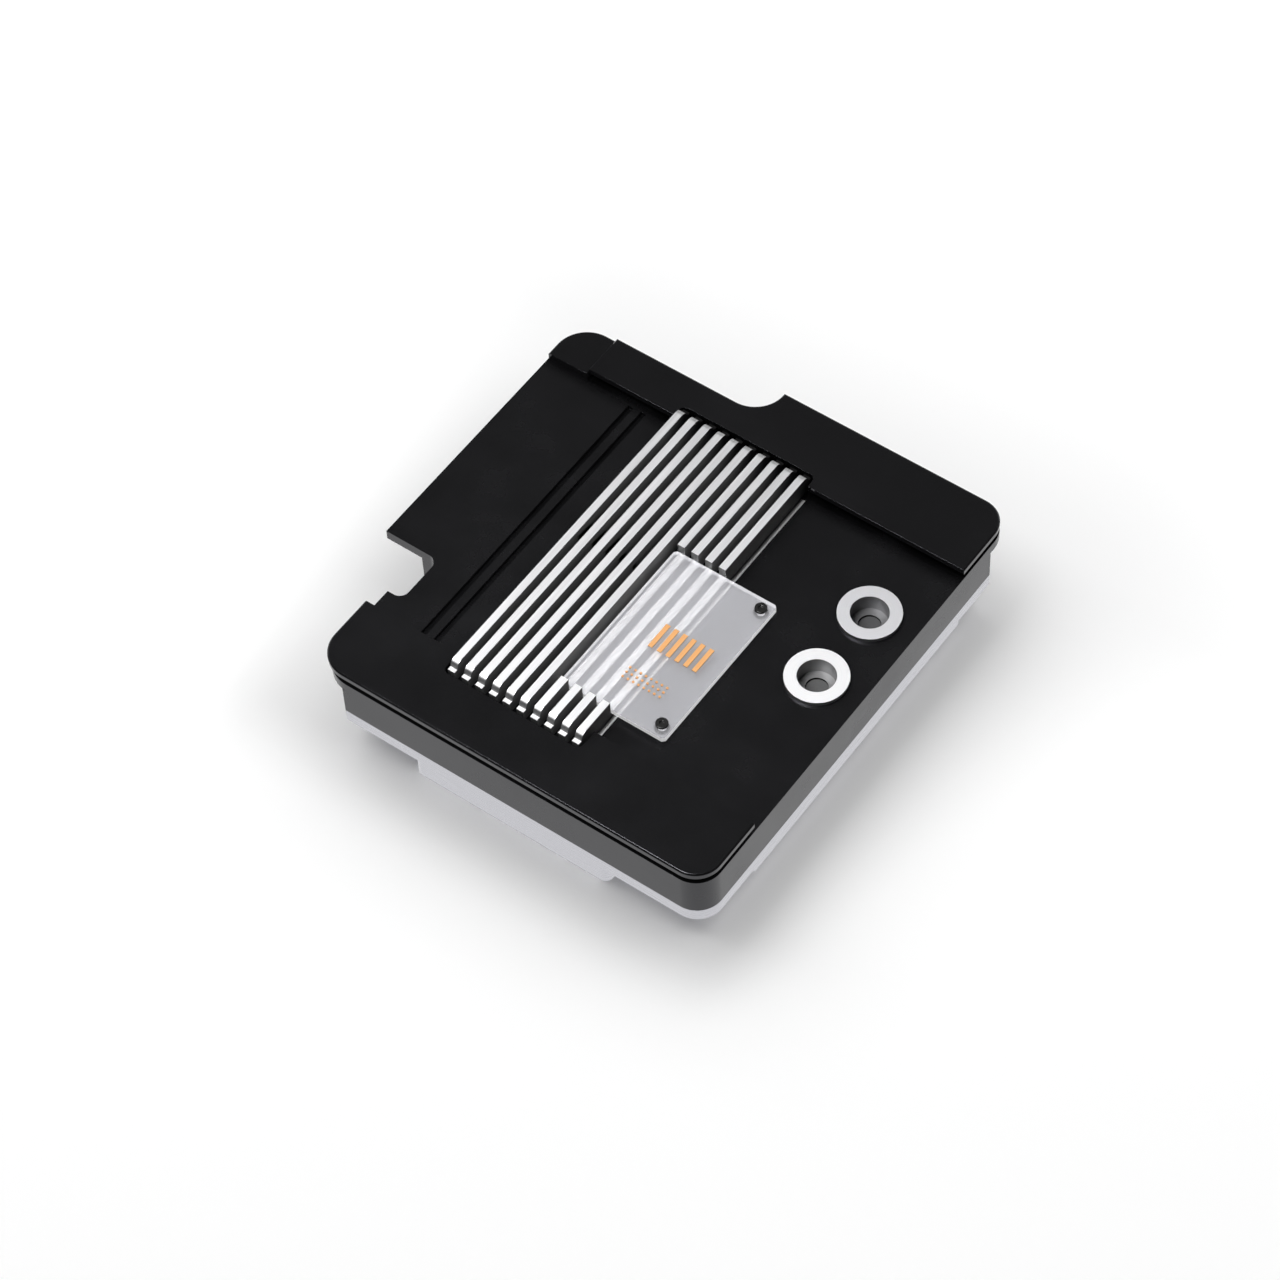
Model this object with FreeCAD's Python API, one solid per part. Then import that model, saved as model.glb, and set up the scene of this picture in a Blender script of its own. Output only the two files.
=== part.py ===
import FreeCAD, Part
import math
import os

# Liquid cooling cold plate. A nickel-plated copper plate with fins carries a black manifold body,
# which takes two ports, three cover plates, ten bright rib bars and a clear name plate.
# Millimetres. X runs across the part, Y runs along the ribs from front to back, Z points up.
# The origin is the centre of the outline, at the height of the contact pedestal's face.

vec = FreeCAD.Vector

# Outline in plan
overall_width = 169.8
overall_length = 177.7
front_right_radius = 9.5
back_right_radius = 10.0
left_corner_radius = 12.0
flange_front_left = 15.7        # flange edge of the front left part, from the left end of the tongue
back_step_depth = 12.35         # the back left part ends this far short of the back edge
back_step_from_right = 91.8     # where the step starts, from the right side
back_step_radius = 11.6

# Notch in the left side
notch_back_from_front = 57.05
notch_length = 19.4
notch_depth = 21.7
notch_radius = 3.5

# Thick lower part of the body
body_front_left_inset = 25.9    # its left side at the front, from the left end of the tongue
body_back_left_inset = 14.6     # its left side behind the notch

# Heights
pedestal_height = 7.4
plate_thickness = 5.05
step_height = 1.75
body_depth = 12.0
flange_thickness = 3.9
shadow_gap = 2.35
cover_thickness = 2.3
corner_cover_thickness = 2.75
cover_chamfer = 0.5

# Contact pedestal and right step of the copper plate
pedestal_left_from_center = 31.5
pedestal_width = 78.0
pedestal_back_inset = 20.35      # from the back face of the thick body
pedestal_radius = 3.0
step_width = 20.0
step_front_inset = 27.5
step_back_inset = 18.85

# Covers
front_cover_length = 28.05
front_cover_overhang = 1.3      # stands out past the flange on the left
rear_cover_front_from_back = 28.95
rear_cover_left_inset = 16.6    # from the left end of the tongue
corner_cover_length = 17.5
cover_gap = 0.1
foot_inset = 3.0
foot_pocket_margin = 1.5

# Rib bars and the thin rails beside them
rib_count = 10
rib_width = 2.77
rib_pitch = 5.543
rib_left_from_center = 31.3
rib_rise = 2.9                  # ribs stand this far above the covers
rib_front_reach = 5.5           # rib ends run this far into the front cover's pocket
rib_back_reach = 2.03
rib_end_radius = 2.8
rib_foot_length = 1.5
rib_slot_depth = 2.5
rail_width = 1.9
rail_depth = 1.5
rail_end_margin = 2.5           # rails and grooves end this far short of the covers
pocket_side_margin = 1.0
pocket_end_gap = 1.3
pocket_radius = 2.0

# Long grooves in the body top
groove_width = 2.2
groove_pitch = 5.2
groove_depth = 1.2
groove_left_from_center = 50.0

# Clear name plate
name_width = 41.25
name_length = 64.2
name_thickness = 2.0
name_left_from_center = 1.05
name_front_from_front = 38.35
name_lift = 1.89                # clear height between body top and plate
name_corner_chamfer = 1.0
name_cut_gap = 0.12
name_screw_side = 4.0
name_screw_back = 4.0
name_screw_front = 4.6
name_screw_radius = 1.25
name_screw_head_radius = 2.15
name_screw_head_height = 0.9
name_screw_grip = 5.0           # thread length in the body
spacer_radius = 2.6

# Motif on the name plate
inlay_thickness = 0.3
inlay_from_left = 15.3
inlay_from_front = 32.5         # middle of the bars
inlay_bar_count = 6
inlay_bar_width = 1.7
inlay_bar_length = 10.5
inlay_bar_pitch = 3.5
inlay_dot_radius = 0.45
inlay_dot_pitch = 2.1
inlay_dot_columns = 8
inlay_dot_rows = 3
inlay_dot_drop = 15.5           # first row of dots, in front of the middle of the bars

# Ports
port_from_right = 17.34
port_spacing = 30.76
port_ring_radius = 10.9
port_ring_thickness = 1.6
port_bore_radius = 6.58
port_bore_depth = 6.6
port_throat_radius = 3.9
port_throat_depth = 1.0         # below the floor of the bore
port_barrel_radius = 8.75
port_floor = 2.0
port_window_width = 5.0
port_window_height = 3.2
port_seal_section = 1.5
port_seal_squeeze = 0.05
port_seal_drop = 0.6            # seal groove below the ring

# Fins and wet spaces
fin_count = 32
fin_thickness = 1.0
fin_pitch = 2.0
fin_height = 4.0
fin_front_inset = 38.5          # fins end this far short of the pedestal's ends
fin_back_inset = 38.5
fin_side_gap = 2.0
end_plenum = 7.0
side_channel = 8.0
flow_plate_thickness = 1.2
flow_plate_margin = 1.0
flow_slot_width = 3.0
gasket_thickness = 0.5
plenum_margin = 3.5             # plenum inside the flow plate's long edges
plenum_length = 14.0
plenum_height = 4.0
passage_width = 7.0
passage_roof = 2.4              # body left above the risers
arm_end_margin = 2.5
arm_side_margin = 4.6
arm_screw_from_port = 13.0
arm_screw_from_passage = 2.3
arm_offset = 3.39               # inlet arm's line, behind the middle of the fins

# Main seal
seal_section = 1.8
seal_groove_width = 2.2
seal_groove_depth = 1.5
seal_wall = 2.4                 # body between the wet spaces and the seal groove
seal_left_margin = 15.4         # between the chamber and the seal on the left
seal_arm_wall = 1.0             # body between the recess of the inlet arm and the seal groove
seal_corner_radius = 6.0

# Fasteners
fit_gap = 0.1
press_gap = 0.02
thread_gap = 0.05
base_screw_radius = 1.5
base_screw_head_radius = 2.8
base_screw_head_height = 1.65
base_screw_grip = 5.0
insert_wall = 0.65
insert_length = 5.5
front_screw_inset = 8.0         # base screws, from the sides of the copper plate
front_screw_left = 10.0
front_screw_right = 24.0
right_screw_inset = 4.9
right_screw_front = 20.0
right_screw_back = 8.0
back_screw_inset = 6.0
back_screw_left = 30.3
back_screw_right = 44.9
left_screw_inset = 8.0
pin_radius = 1.5
pin_length = 7.0
pin_left_inset = 6.0
pin_front_inset = 36.0
pin_back_inset = 22.0
mount_thread_radius = 1.5
mount_insert_length = 4.0
mount_left_inset = 9.0          # mounting holes, from the sides of the copper plate
mount_right_inset = 14.9
mount_front_inset = 19.85
mount_back_inset = 14.5
cover_screw_radius = 1.5
cover_screw_head_radius = 2.75
cover_screw_head_height = 2.0
cover_screw_tip = 1.0           # cover left above the screw tip
cover_screw_front = 8.0         # screws of the front cover, from its front and sides
cover_screw_corner = 15.2
cover_screw_left = 22.0
cover_screw_right = 37.9
rear_screw_row = 9.8            # screws of the rear cover, from its front and sides
rear_screw_left = 10.3
rear_screw_right = 20.0
rear_screw_step = 8.0
rear_screw_outer = 10.0
corner_screw_front = 4.25       # screws of the corner cover, from its front
corner_screw_spacing = 6.5
flow_screw_radius = 1.0
flow_screw_head_radius = 1.9
flow_screw_head_height = 1.2
flow_screw_grip = 4.0
flow_screw_inset = 2.6
hex_share = 0.45                # socket radius as a share of the head radius
socket_share = 0.6              # socket depth as a share of the head height

# Heights worked out from the sizes above
base_bottom = pedestal_height
base_top = base_bottom + plate_thickness
flange_bottom = base_top + body_depth
body_top = flange_bottom + flange_thickness
cover_bottom = body_top + shadow_gap
cover_top = cover_bottom + cover_thickness
rib_top = cover_top + rib_rise
chamber_roof = base_top + fin_height + flow_plate_thickness + gasket_thickness
flow_plate_bottom = base_top + fin_height
plenum_roof = chamber_roof + plenum_height
riser_roof = body_top - passage_roof
barrel_bottom = body_top + port_ring_thickness - port_bore_depth - port_throat_depth - port_floor

# Lines of the plan
right = overall_width / 2
left = -right
back = overall_length / 2
front = -back
back_left = back - back_step_depth
step_x = right - back_step_from_right
notch_back = front + notch_back_from_front
notch_front = notch_back - notch_length
notch_right = left + notch_depth
flange_left = left + flange_front_left
body_left_front = left + body_front_left_inset
body_left_back = left + body_back_left_inset
front_cover_back = front + front_cover_length
rear_cover_front = back - rear_cover_front_from_back
rear_cover_left = left + rear_cover_left_inset
pedestal_left = -pedestal_left_from_center
pedestal_right = pedestal_left + pedestal_width
pedestal_back = back_left - pedestal_back_inset
fin_x = (pedestal_left + pedestal_right) / 2
fin_front = front + fin_front_inset
fin_back = pedestal_back - fin_back_inset
fin_y = (fin_front + fin_back) / 2
arm_y = fin_y + arm_offset
port_x = right - port_from_right
inlet_y = arm_y + passage_width / 2 + port_barrel_radius
outlet_y = inlet_y + port_spacing
outlet_channel_back = outlet_y - port_barrel_radius
outlet_channel_front = outlet_channel_back - passage_width
chamber_front = fin_front - end_plenum
chamber_back = fin_back + end_plenum
name_left = name_left_from_center
name_front = front + name_front_from_front
rib_left = -rib_left_from_center
rib_right = rib_left + (rib_count - 1) * rib_pitch + rib_width
rib_front = front_cover_back - rib_front_reach
rib_back = rear_cover_front + rib_back_reach


def block(x0, x1, y0, y1, z0, z1):
    """Box between two corners."""
    return Part.makeBox(x1 - x0, y1 - y0, z1 - z0, vec(x0, y0, z0))


def post(x, y, z0, z1, radius):
    """Upright cylinder."""
    return Part.makeCylinder(radius, z1 - z0, vec(x, y, z0))


def joined(shapes):
    """All shapes fused into one, with the seams between flat faces taken out."""
    shapes = list(shapes)
    return shapes[0].multiFuse(shapes[1:]).removeSplitter() if len(shapes) > 1 else shapes[0]


def corner_arc(before, here, after, radius):
    """Start, middle and end of the arc that rounds the corner at `here`."""
    toward_before = (before - here).normalize()
    toward_after = (after - here).normalize()
    half_angle = toward_before.getAngle(toward_after) / 2
    middle_way = (toward_before + toward_after).normalize()
    reach = radius / math.tan(half_angle)
    center = here + middle_way * (radius / math.sin(half_angle))
    return here + toward_before * reach, center - middle_way * radius, here + toward_after * reach


def outline(corners):
    """Flat face at height zero. Each corner is (x, y, radius), in order round the shape."""
    points = [vec(x, y, 0) for x, y, radius in corners]
    edges = []
    count = len(corners)
    arcs = []
    for index, (x, y, radius) in enumerate(corners):
        if radius > 0:
            arcs.append(corner_arc(points[index - 1], points[index], points[(index + 1) % count], radius))
        else:
            arcs.append((points[index],) * 3)
    for index in range(count):
        start, middle, end = arcs[index]
        if corners[index][2] > 0:
            edges.append(Part.Arc(start, middle, end).toShape())
        following = arcs[(index + 1) % count][0]
        if end.distanceToPoint(following) > 1e-6:
            edges.append(Part.makeLine(end, following))
    return Part.Face(Part.Wire(edges))


def slab(face, z0, z1):
    """The face at height zero raised to a plate between two heights."""
    return face.translated(vec(0, 0, z0)).extrude(vec(0, 0, z1 - z0))


def rounded_block(x0, x1, y0, y1, z0, z1, radius):
    """Box with rounded upright edges."""
    corners = [(x0, y0, radius), (x1, y0, radius), (x1, y1, radius), (x0, y1, radius)]
    return slab(outline(corners), z0, z1)


def chamfer_top(solid, top, cut_line):
    """Break the top edges by the cover chamfer, apart from those on the line y = cut_line."""
    edges = []
    for edge in solid.Edges:
        box = edge.BoundBox
        on_cut = abs(box.YMin - cut_line) < 1e-4 and abs(box.YMax - cut_line) < 1e-4
        if box.ZMin > top - 1e-4 and not on_cut:
            edges.append(edge)
    return solid.makeChamfer(cover_chamfer, edges)


def upward_screw(x, y, seat, tip, shank_radius, head_radius, head_height):
    """Socket screw that enters from below, with its head under the height `seat`."""
    head = post(x, y, seat - head_height, seat, head_radius)
    shank = post(x, y, seat, tip, shank_radius)
    socket = hex_socket(x, y, seat - head_height, head_height * socket_share, head_radius * hex_share)
    return head.fuse(shank).cut(socket)


def hex_socket(x, y, z0, depth, radius):
    """Six-sided hole to be cut from a screw head."""
    corners = []
    for index in range(6):
        angle = index * math.pi / 3
        corners.append((x + radius * math.cos(angle), y + radius * math.sin(angle), 0))
    return slab(outline(corners), z0, z0 + depth)


def flange_face():
    """Plan of the flange: notch on the left, stepped back edge, rounded corners."""
    return outline([
        (flange_left, front, left_corner_radius),
        (right, front, front_right_radius),
        (right, back, back_right_radius),
        (step_x, back, 0),
        (step_x, back_left, back_step_radius),
        (left, back_left, left_corner_radius),
        (left, notch_back, 0),
        (notch_right, notch_back, notch_radius),
        (notch_right, notch_front, notch_radius),
        (flange_left, notch_front, 0),
    ])


def lower_body_face():
    """Plan shared by the thick part of the body and the copper plate."""
    return outline([
        (body_left_front, front, 0),
        (right, front, front_right_radius),
        (right, back_left, 0),
        (body_left_back, back_left, 0),
        (body_left_back, notch_back, 0),
        (notch_right, notch_back, notch_radius),
        (notch_right, notch_front, 0),
        (body_left_front, notch_front, 0),
    ])


def front_cover_face():
    """Plan of the front cover."""
    cover_left = flange_left - front_cover_overhang
    return outline([
        (cover_left, front, left_corner_radius),
        (right, front, front_right_radius),
        (right, front_cover_back, 0),
        (cover_left, front_cover_back, 0),
    ])


def rear_cover_face():
    """Plan of the rear cover."""
    return outline([
        (rear_cover_left, rear_cover_front, 0),
        (right, rear_cover_front, 0),
        (right, back, back_right_radius),
        (step_x, back, 0),
        (step_x, back_left, back_step_radius),
        (rear_cover_left, back_left, 0),
    ])


def corner_cover_face():
    """Plan of the corner cover."""
    cover_right = rear_cover_left - cover_gap
    return outline([
        (left, back_left - corner_cover_length, 0),
        (cover_right, back_left - corner_cover_length, 0),
        (cover_right, back_left, 0),
        (left, back_left, left_corner_radius),
    ])


def pocket_box(margin):
    """Sides of the pocket round the ribs in plan, `margin` wider: left, right, front, back."""
    return (rib_left - pocket_side_margin - margin, rib_right + pocket_side_margin + margin,
            rib_front - rib_foot_length - pocket_end_gap - margin,
            rib_back + rib_foot_length + pocket_end_gap + margin)


def rib_pocket():
    """Opening in the covers round the ribs."""
    x0, x1, y0, y1 = pocket_box(0)
    return rounded_block(x0, x1, y0, y1, body_top, cover_top, pocket_radius)


def foot_opening():
    """Space left free under the covers round the pocket."""
    x0, x1, y0, y1 = pocket_box(foot_pocket_margin)
    return block(x0, x1, y0, y1, body_top, cover_bottom)


def cover_screw_hole(x, y, tip):
    """Threaded blind hole in a cover for a screw from below."""
    return post(x, y, body_top, tip, cover_screw_radius + thread_gap)


def cover_screw_tip_height(cover_surface):
    """Height of the screw tips under a cover surface."""
    return cover_surface - cover_screw_tip


def front_cover_screw_places():
    """Four screws into the front cover: one out on the flange, three in the thick part."""
    row = front + cover_screw_front
    return [
        ((flange_left + body_left_front) / 2, front + cover_screw_corner),
        (body_left_front + cover_screw_left, row),
        (right - cover_screw_right, row),
        (right - cover_screw_front, row),
    ]


def rear_cover_screw_places():
    """Four screws into the rear cover: two in the thick part, two out on the flange."""
    row = rear_cover_front + rear_screw_row
    outer_row = (back_left + back) / 2
    return [
        (rear_cover_left + rear_screw_left, row),
        (right - rear_screw_right, row),
        (step_x + rear_screw_step, outer_row),
        (right - rear_screw_outer, outer_row),
    ]


def corner_cover_screw_places():
    """Two screws into the corner cover, out on the tongue of the flange."""
    x = (left + body_left_back) / 2
    y = back_left - corner_cover_length + corner_screw_front
    return [(x, y), (x, y + corner_screw_spacing)]


def base_screw_places():
    """Screws through the copper plate, all outside the main seal."""
    places = []
    for x in (body_left_front + front_screw_left, right - front_screw_right):
        places.append((x, front + front_screw_inset))
    y0 = front + right_screw_front
    y1 = back_left - right_screw_back
    for y in (y0, (y0 + y1) / 2, y1):
        places.append((right - right_screw_inset, y))
    for x in (body_left_back + back_screw_left, right - back_screw_right):
        places.append((x, back_left - back_screw_inset))
    places.append((body_left_front + left_screw_inset, (notch_front + notch_back) / 2))
    places.append((body_left_back + left_screw_inset, (notch_back + back_left) / 2))
    return places


def pin_places():
    """Two dowels far apart."""
    return [(body_left_front + pin_left_inset, front + pin_front_inset),
            (right - right_screw_inset, back_left - pin_back_inset)]


def mount_places():
    """Corners of the mounting pattern in the underside."""
    places = []
    for x in (body_left_front + mount_left_inset, right - mount_right_inset):
        for y in (front + mount_front_inset, back_left - mount_back_inset):
            places.append((x, y))
    return places


def rib_places():
    """Left side of each rib."""
    return [rib_left + index * rib_pitch for index in range(rib_count)]


def rail_places():
    """Left side of the rail against the outer rib on each side."""
    return [rib_left - rail_width, rib_right]


def name_screw_places():
    """Two screws at the right edge of the name plate."""
    x = name_left + name_width - name_screw_side
    return [(x, name_front + name_screw_front), (x, name_front + name_length - name_screw_back)]


def fin_span():
    """Left and right end of the fin field."""
    half = ((fin_count - 1) * fin_pitch + fin_thickness) / 2
    return fin_x - half, fin_x + half


def flow_plate_face(gap):
    """Plan of the flow plate with its arm, `gap` wider all round."""
    x0, x1 = fin_span()
    plate_left = x0 - flow_plate_margin - gap
    plate_right = x1 + flow_plate_margin + gap
    plate_front = fin_front - flow_plate_margin - gap
    plate_back = fin_back + flow_plate_margin + gap
    half_arm = passage_width / 2 + arm_side_margin + gap
    arm_end = port_x + passage_width / 2 + arm_end_margin + gap
    return outline([
        (plate_left, plate_front, 0),
        (plate_right, plate_front, 0),
        (plate_right, arm_y - half_arm, 0),
        (arm_end, arm_y - half_arm, 0),
        (arm_end, arm_y + half_arm, 0),
        (plate_right, arm_y + half_arm, 0),
        (plate_right, plate_back, 0),
        (plate_left, plate_back, 0),
    ])


def plenum_face():
    """Plan of the inlet plenum with its arm to the riser."""
    x0, x1 = fin_span()
    half_plenum = plenum_length / 2
    half_arm = passage_width / 2
    arm_end = port_x + half_arm
    return outline([
        (x0 + plenum_margin, fin_y - half_plenum, 0),
        (x1 - plenum_margin, fin_y - half_plenum, 0),
        (x1 - plenum_margin, arm_y - half_arm, 0),
        (arm_end, arm_y - half_arm, 0),
        (arm_end, arm_y + half_arm, 0),
        (x1 - plenum_margin, arm_y + half_arm, 0),
        (x1 - plenum_margin, fin_y + half_plenum, 0),
        (x0 + plenum_margin, fin_y + half_plenum, 0),
    ])


def flow_screw_places():
    """Screws at the front and back of the flow plate and on both sides of its arm."""
    x0, x1 = fin_span()
    edge_inset = flow_screw_inset - flow_plate_margin
    places = []
    for x in (x0 + flow_screw_inset, fin_x, x1 - flow_screw_inset):
        for y in (fin_front + edge_inset, fin_back - edge_inset):
            places.append((x, y))
    for side in (-1, 1):
        places.append((port_x - arm_screw_from_port,
                       arm_y + side * (passage_width / 2 + arm_screw_from_passage)))
    return places


def seal_box():
    """Sides of the main seal's centre line: left, right, front, back."""
    half_groove = seal_groove_width / 2
    arm_end = port_x + passage_width / 2 + arm_end_margin + fit_gap
    x0, x1 = fin_span()
    return (x0 - fin_side_gap - seal_left_margin - half_groove, arm_end + seal_arm_wall + half_groove,
            chamber_front - seal_wall - half_groove, outlet_y + port_barrel_radius + seal_wall + half_groove)


def seal_ring(width, z0, z1):
    """Rounded rectangular ring round all wet spaces."""
    x0, x1, y0, y1 = seal_box()
    half = width / 2
    outer = rounded_block(x0 - half, x1 + half, y0 - half, y1 + half, z0, z1, seal_corner_radius + half)
    inner = rounded_block(x0 + half, x1 - half, y0 + half, y1 - half, z0, z1, seal_corner_radius - half)
    return outer.cut(inner)


def outlet_channel():
    """Outlet passage: both end plenums, the right channel and the way to the outlet riser."""
    x0, x1 = fin_span()
    side = x1 + side_channel
    chamber = block(x0 - fin_side_gap, side, chamber_front, chamber_back, base_top, chamber_roof)
    link = block(x1 + fin_side_gap, side, fin_y, outlet_channel_back, base_top, chamber_roof)
    channel = block(x1 + fin_side_gap, port_x + passage_width / 2, outlet_channel_front,
                    outlet_channel_back, base_top, chamber_roof)
    riser = block(port_x - passage_width / 2, port_x + passage_width / 2, outlet_channel_front,
                  outlet_y, base_top, riser_roof)
    return [chamber, link, channel, riser]


def inlet_channel():
    """Inlet passage: recess for the flow plate, plenum, arm and riser."""
    recess = slab(flow_plate_face(fit_gap), base_top, chamber_roof)
    plenum = slab(plenum_face(), chamber_roof, plenum_roof)
    half = passage_width / 2
    riser = block(port_x - half, port_x + half, arm_y - half, inlet_y, chamber_roof, riser_roof)
    return [recess, plenum, riser]


def grooves():
    """Two long grooves in the body top between the covers."""
    cuts = []
    for index in range(2):
        x = -groove_left_from_center + index * groove_pitch
        cuts.append(block(x, x + groove_width, front_cover_back + rail_end_margin,
                          rear_cover_front - rail_end_margin, body_top - groove_depth, body_top))
    return cuts


def rib_slots():
    """Slots in the body top that hold the rib bars and the rails."""
    cuts = []
    for x in rib_places():
        cuts.append(block(x - press_gap, x + rib_width + press_gap, rib_front - rib_foot_length - press_gap,
                          rib_back + rib_foot_length + press_gap, body_top - rib_slot_depth, body_top))
    for x in rail_places():
        cuts.append(block(x - press_gap, x + rail_width + press_gap,
                          front_cover_back + rail_end_margin - press_gap,
                          rear_cover_front - rail_end_margin + press_gap, body_top - rail_depth, body_top))
    return cuts


def all_cover_screw_places():
    """Every screw that passes the body into a cover."""
    return front_cover_screw_places() + rear_cover_screw_places() + corner_cover_screw_places()


def manifold_body():
    """Black body: flange above, thick part below, wet passages milled from underneath."""
    upper = slab(flange_face(), flange_bottom, body_top)
    lower = slab(lower_body_face(), base_top, flange_bottom)
    body = joined([upper, lower])
    cuts = outlet_channel() + inlet_channel() + grooves() + rib_slots()
    cuts.append(seal_ring(seal_groove_width, base_top, base_top + seal_groove_depth))
    for y in (inlet_y, outlet_y):
        cuts.append(post(port_x, y, barrel_bottom, body_top, port_barrel_radius + thread_gap))
    for x, y in all_cover_screw_places():
        cuts.append(post(x, y, flange_bottom, body_top, cover_screw_radius + fit_gap))
        cuts.append(post(x, y, base_top, flange_bottom, cover_screw_head_radius + fit_gap))
    for x, y in base_screw_places():
        cuts.append(post(x, y, base_top, base_top + insert_length, base_screw_radius + insert_wall))
    for x, y in pin_places():
        cuts.append(post(x, y, base_top, base_top + pin_length / 2 + fit_gap, pin_radius + thread_gap))
    for x, y in flow_screw_places():
        cuts.append(post(x, y, chamber_roof, chamber_roof + flow_screw_grip + fit_gap,
                         flow_screw_radius + thread_gap))
    for x, y in name_screw_places():
        cuts.append(post(x, y, body_top - name_screw_grip - fit_gap, body_top,
                         name_screw_radius + thread_gap))
    return body.cut(cuts)


def cold_plate():
    """Copper plate with pedestal, right step and milled fins."""
    plate = slab(lower_body_face(), base_bottom, base_top)
    pedestal = rounded_block(pedestal_left, pedestal_right, front, pedestal_back, 0, base_bottom,
                             pedestal_radius)
    step = block(right - step_width, right, front + step_front_inset, back_left - step_back_inset,
                 base_bottom - step_height, base_bottom)
    x0, x1 = fin_span()
    fins = []
    for index in range(fin_count):
        x = x0 + index * fin_pitch
        fins.append(block(x, x + fin_thickness, fin_front, fin_back, base_top, base_top + fin_height))
    plate = joined([plate, pedestal, step] + fins)
    cuts = []
    for x, y in base_screw_places():
        cuts.append(post(x, y, base_bottom, base_top, base_screw_radius + fit_gap))
        cuts.append(post(x, y, 0, base_bottom, base_screw_head_radius + fit_gap))
        cuts.append(Part.makeCone(base_screw_head_radius + fit_gap, base_screw_radius + fit_gap,
                                  base_screw_head_height, vec(x, y, base_bottom)))
    for x, y in pin_places():
        cuts.append(post(x, y, base_top - pin_length / 2 - fit_gap, base_top, pin_radius + thread_gap))
    for x, y in mount_places():
        cuts.append(post(x, y, base_bottom, base_bottom + mount_insert_length,
                         mount_thread_radius + insert_wall))
    for x, y in flow_screw_places():
        cuts.append(post(x, y, flow_plate_bottom - flow_screw_head_height - fit_gap, flow_plate_bottom,
                         flow_screw_head_radius + fit_gap))
    return plate.cut(cuts)


def front_cover():
    """Front cover plate on its inset foot, open at the ribs."""
    plate = chamfer_top(slab(front_cover_face(), cover_bottom, cover_top), cover_top, front_cover_back)
    foot = slab(front_cover_face().makeOffset2D(-foot_inset), body_top, cover_bottom).cut(foot_opening())
    cover = plate.fuse(foot).cut(rib_pocket())
    tip = cover_screw_tip_height(cover_top)
    return cover.cut([cover_screw_hole(x, y, tip) for x, y in front_cover_screw_places()])


def rear_cover():
    """Rear cover plate on its inset foot, open at the ribs."""
    plate = chamfer_top(slab(rear_cover_face(), cover_bottom, cover_top), cover_top, rear_cover_front)
    foot = slab(rear_cover_face().makeOffset2D(-foot_inset), body_top, cover_bottom).cut(foot_opening())
    cover = plate.fuse(foot).cut(rib_pocket())
    tip = cover_screw_tip_height(cover_top)
    return cover.cut([cover_screw_hole(x, y, tip) for x, y in rear_cover_screw_places()])


def corner_cover():
    """Low plate in the back left corner, flat on the body."""
    top = body_top + corner_cover_thickness
    plate = chamfer_top(slab(corner_cover_face(), body_top, top), top, back_left - corner_cover_length)
    tip = cover_screw_tip_height(top)
    return plate.cut([cover_screw_hole(x, y, tip) for x, y in corner_cover_screw_places()])


def rib_bar():
    """One rib bar at x = 0: rounded ends, and a low foot at each end."""
    foot_top = rib_top - rib_end_radius
    foot_front = rib_front - rib_foot_length
    foot_back = rib_back + rib_foot_length
    slot_floor = body_top - rib_slot_depth
    profile = outline([
        (foot_front, slot_floor, 0),
        (foot_back, slot_floor, 0),
        (foot_back, foot_top, 0),
        (rib_back, foot_top, 0),
        (rib_back, rib_top, rib_end_radius),
        (rib_front, rib_top, rib_end_radius),
        (rib_front, foot_top, 0),
        (foot_front, foot_top, 0),
    ])
    profile.rotate(vec(0, 0, 0), vec(1, 1, 1), 120)
    return profile.extrude(vec(rib_width, 0, 0))


def rib_bars():
    """Ten bars side by side. Those under the name plate are cut down to carry it."""
    cut = block(name_left - name_cut_gap, name_left + name_width,
                name_front - name_cut_gap, name_front + name_length + name_cut_gap,
                body_top + name_lift, rib_top)
    return Part.makeCompound([rib_bar().translated(vec(x, 0, 0)).cut(cut) for x in rib_places()])


def side_rails():
    """Thin bright rails beside the ribs, flush with the body."""
    return Part.makeCompound([
        block(x, x + rail_width, front_cover_back + rail_end_margin, rear_cover_front - rail_end_margin,
              body_top - rail_depth, body_top)
        for x in rail_places()])


def name_plate():
    """Clear plate with broken corners and two screw holes."""
    x1 = name_left + name_width
    y1 = name_front + name_length
    plate = block(name_left, x1, name_front, y1, body_top + name_lift, body_top + name_lift + name_thickness)
    upright = [edge for edge in plate.Edges if edge.BoundBox.ZLength > name_thickness / 2]
    plate = plate.makeChamfer(name_corner_chamfer, upright)
    holes = [post(x, y, body_top, rib_top, name_screw_radius + fit_gap) for x, y in name_screw_places()]
    return plate.cut(holes)


def name_plate_inlay():
    """Generic motif on the clear plate: a row of equal upright bars and a field of dots."""
    bottom = body_top + name_lift + name_thickness
    top = bottom + inlay_thickness
    x = name_left + inlay_from_left
    y = name_front + inlay_from_front
    shapes = []
    for number in range(inlay_bar_count):
        bar_left = x + number * inlay_bar_pitch
        shapes.append(block(bar_left, bar_left + inlay_bar_width, y - inlay_bar_length / 2,
                            y + inlay_bar_length / 2, bottom, top))
    for column in range(inlay_dot_columns):
        for row in range(inlay_dot_rows):
            dot_x = x + inlay_dot_radius + column * inlay_dot_pitch
            dot_y = y - inlay_dot_drop - row * inlay_dot_pitch
            shapes.append(post(dot_x, dot_y, bottom, top, inlay_dot_radius))
    return Part.makeCompound(shapes)


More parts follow.
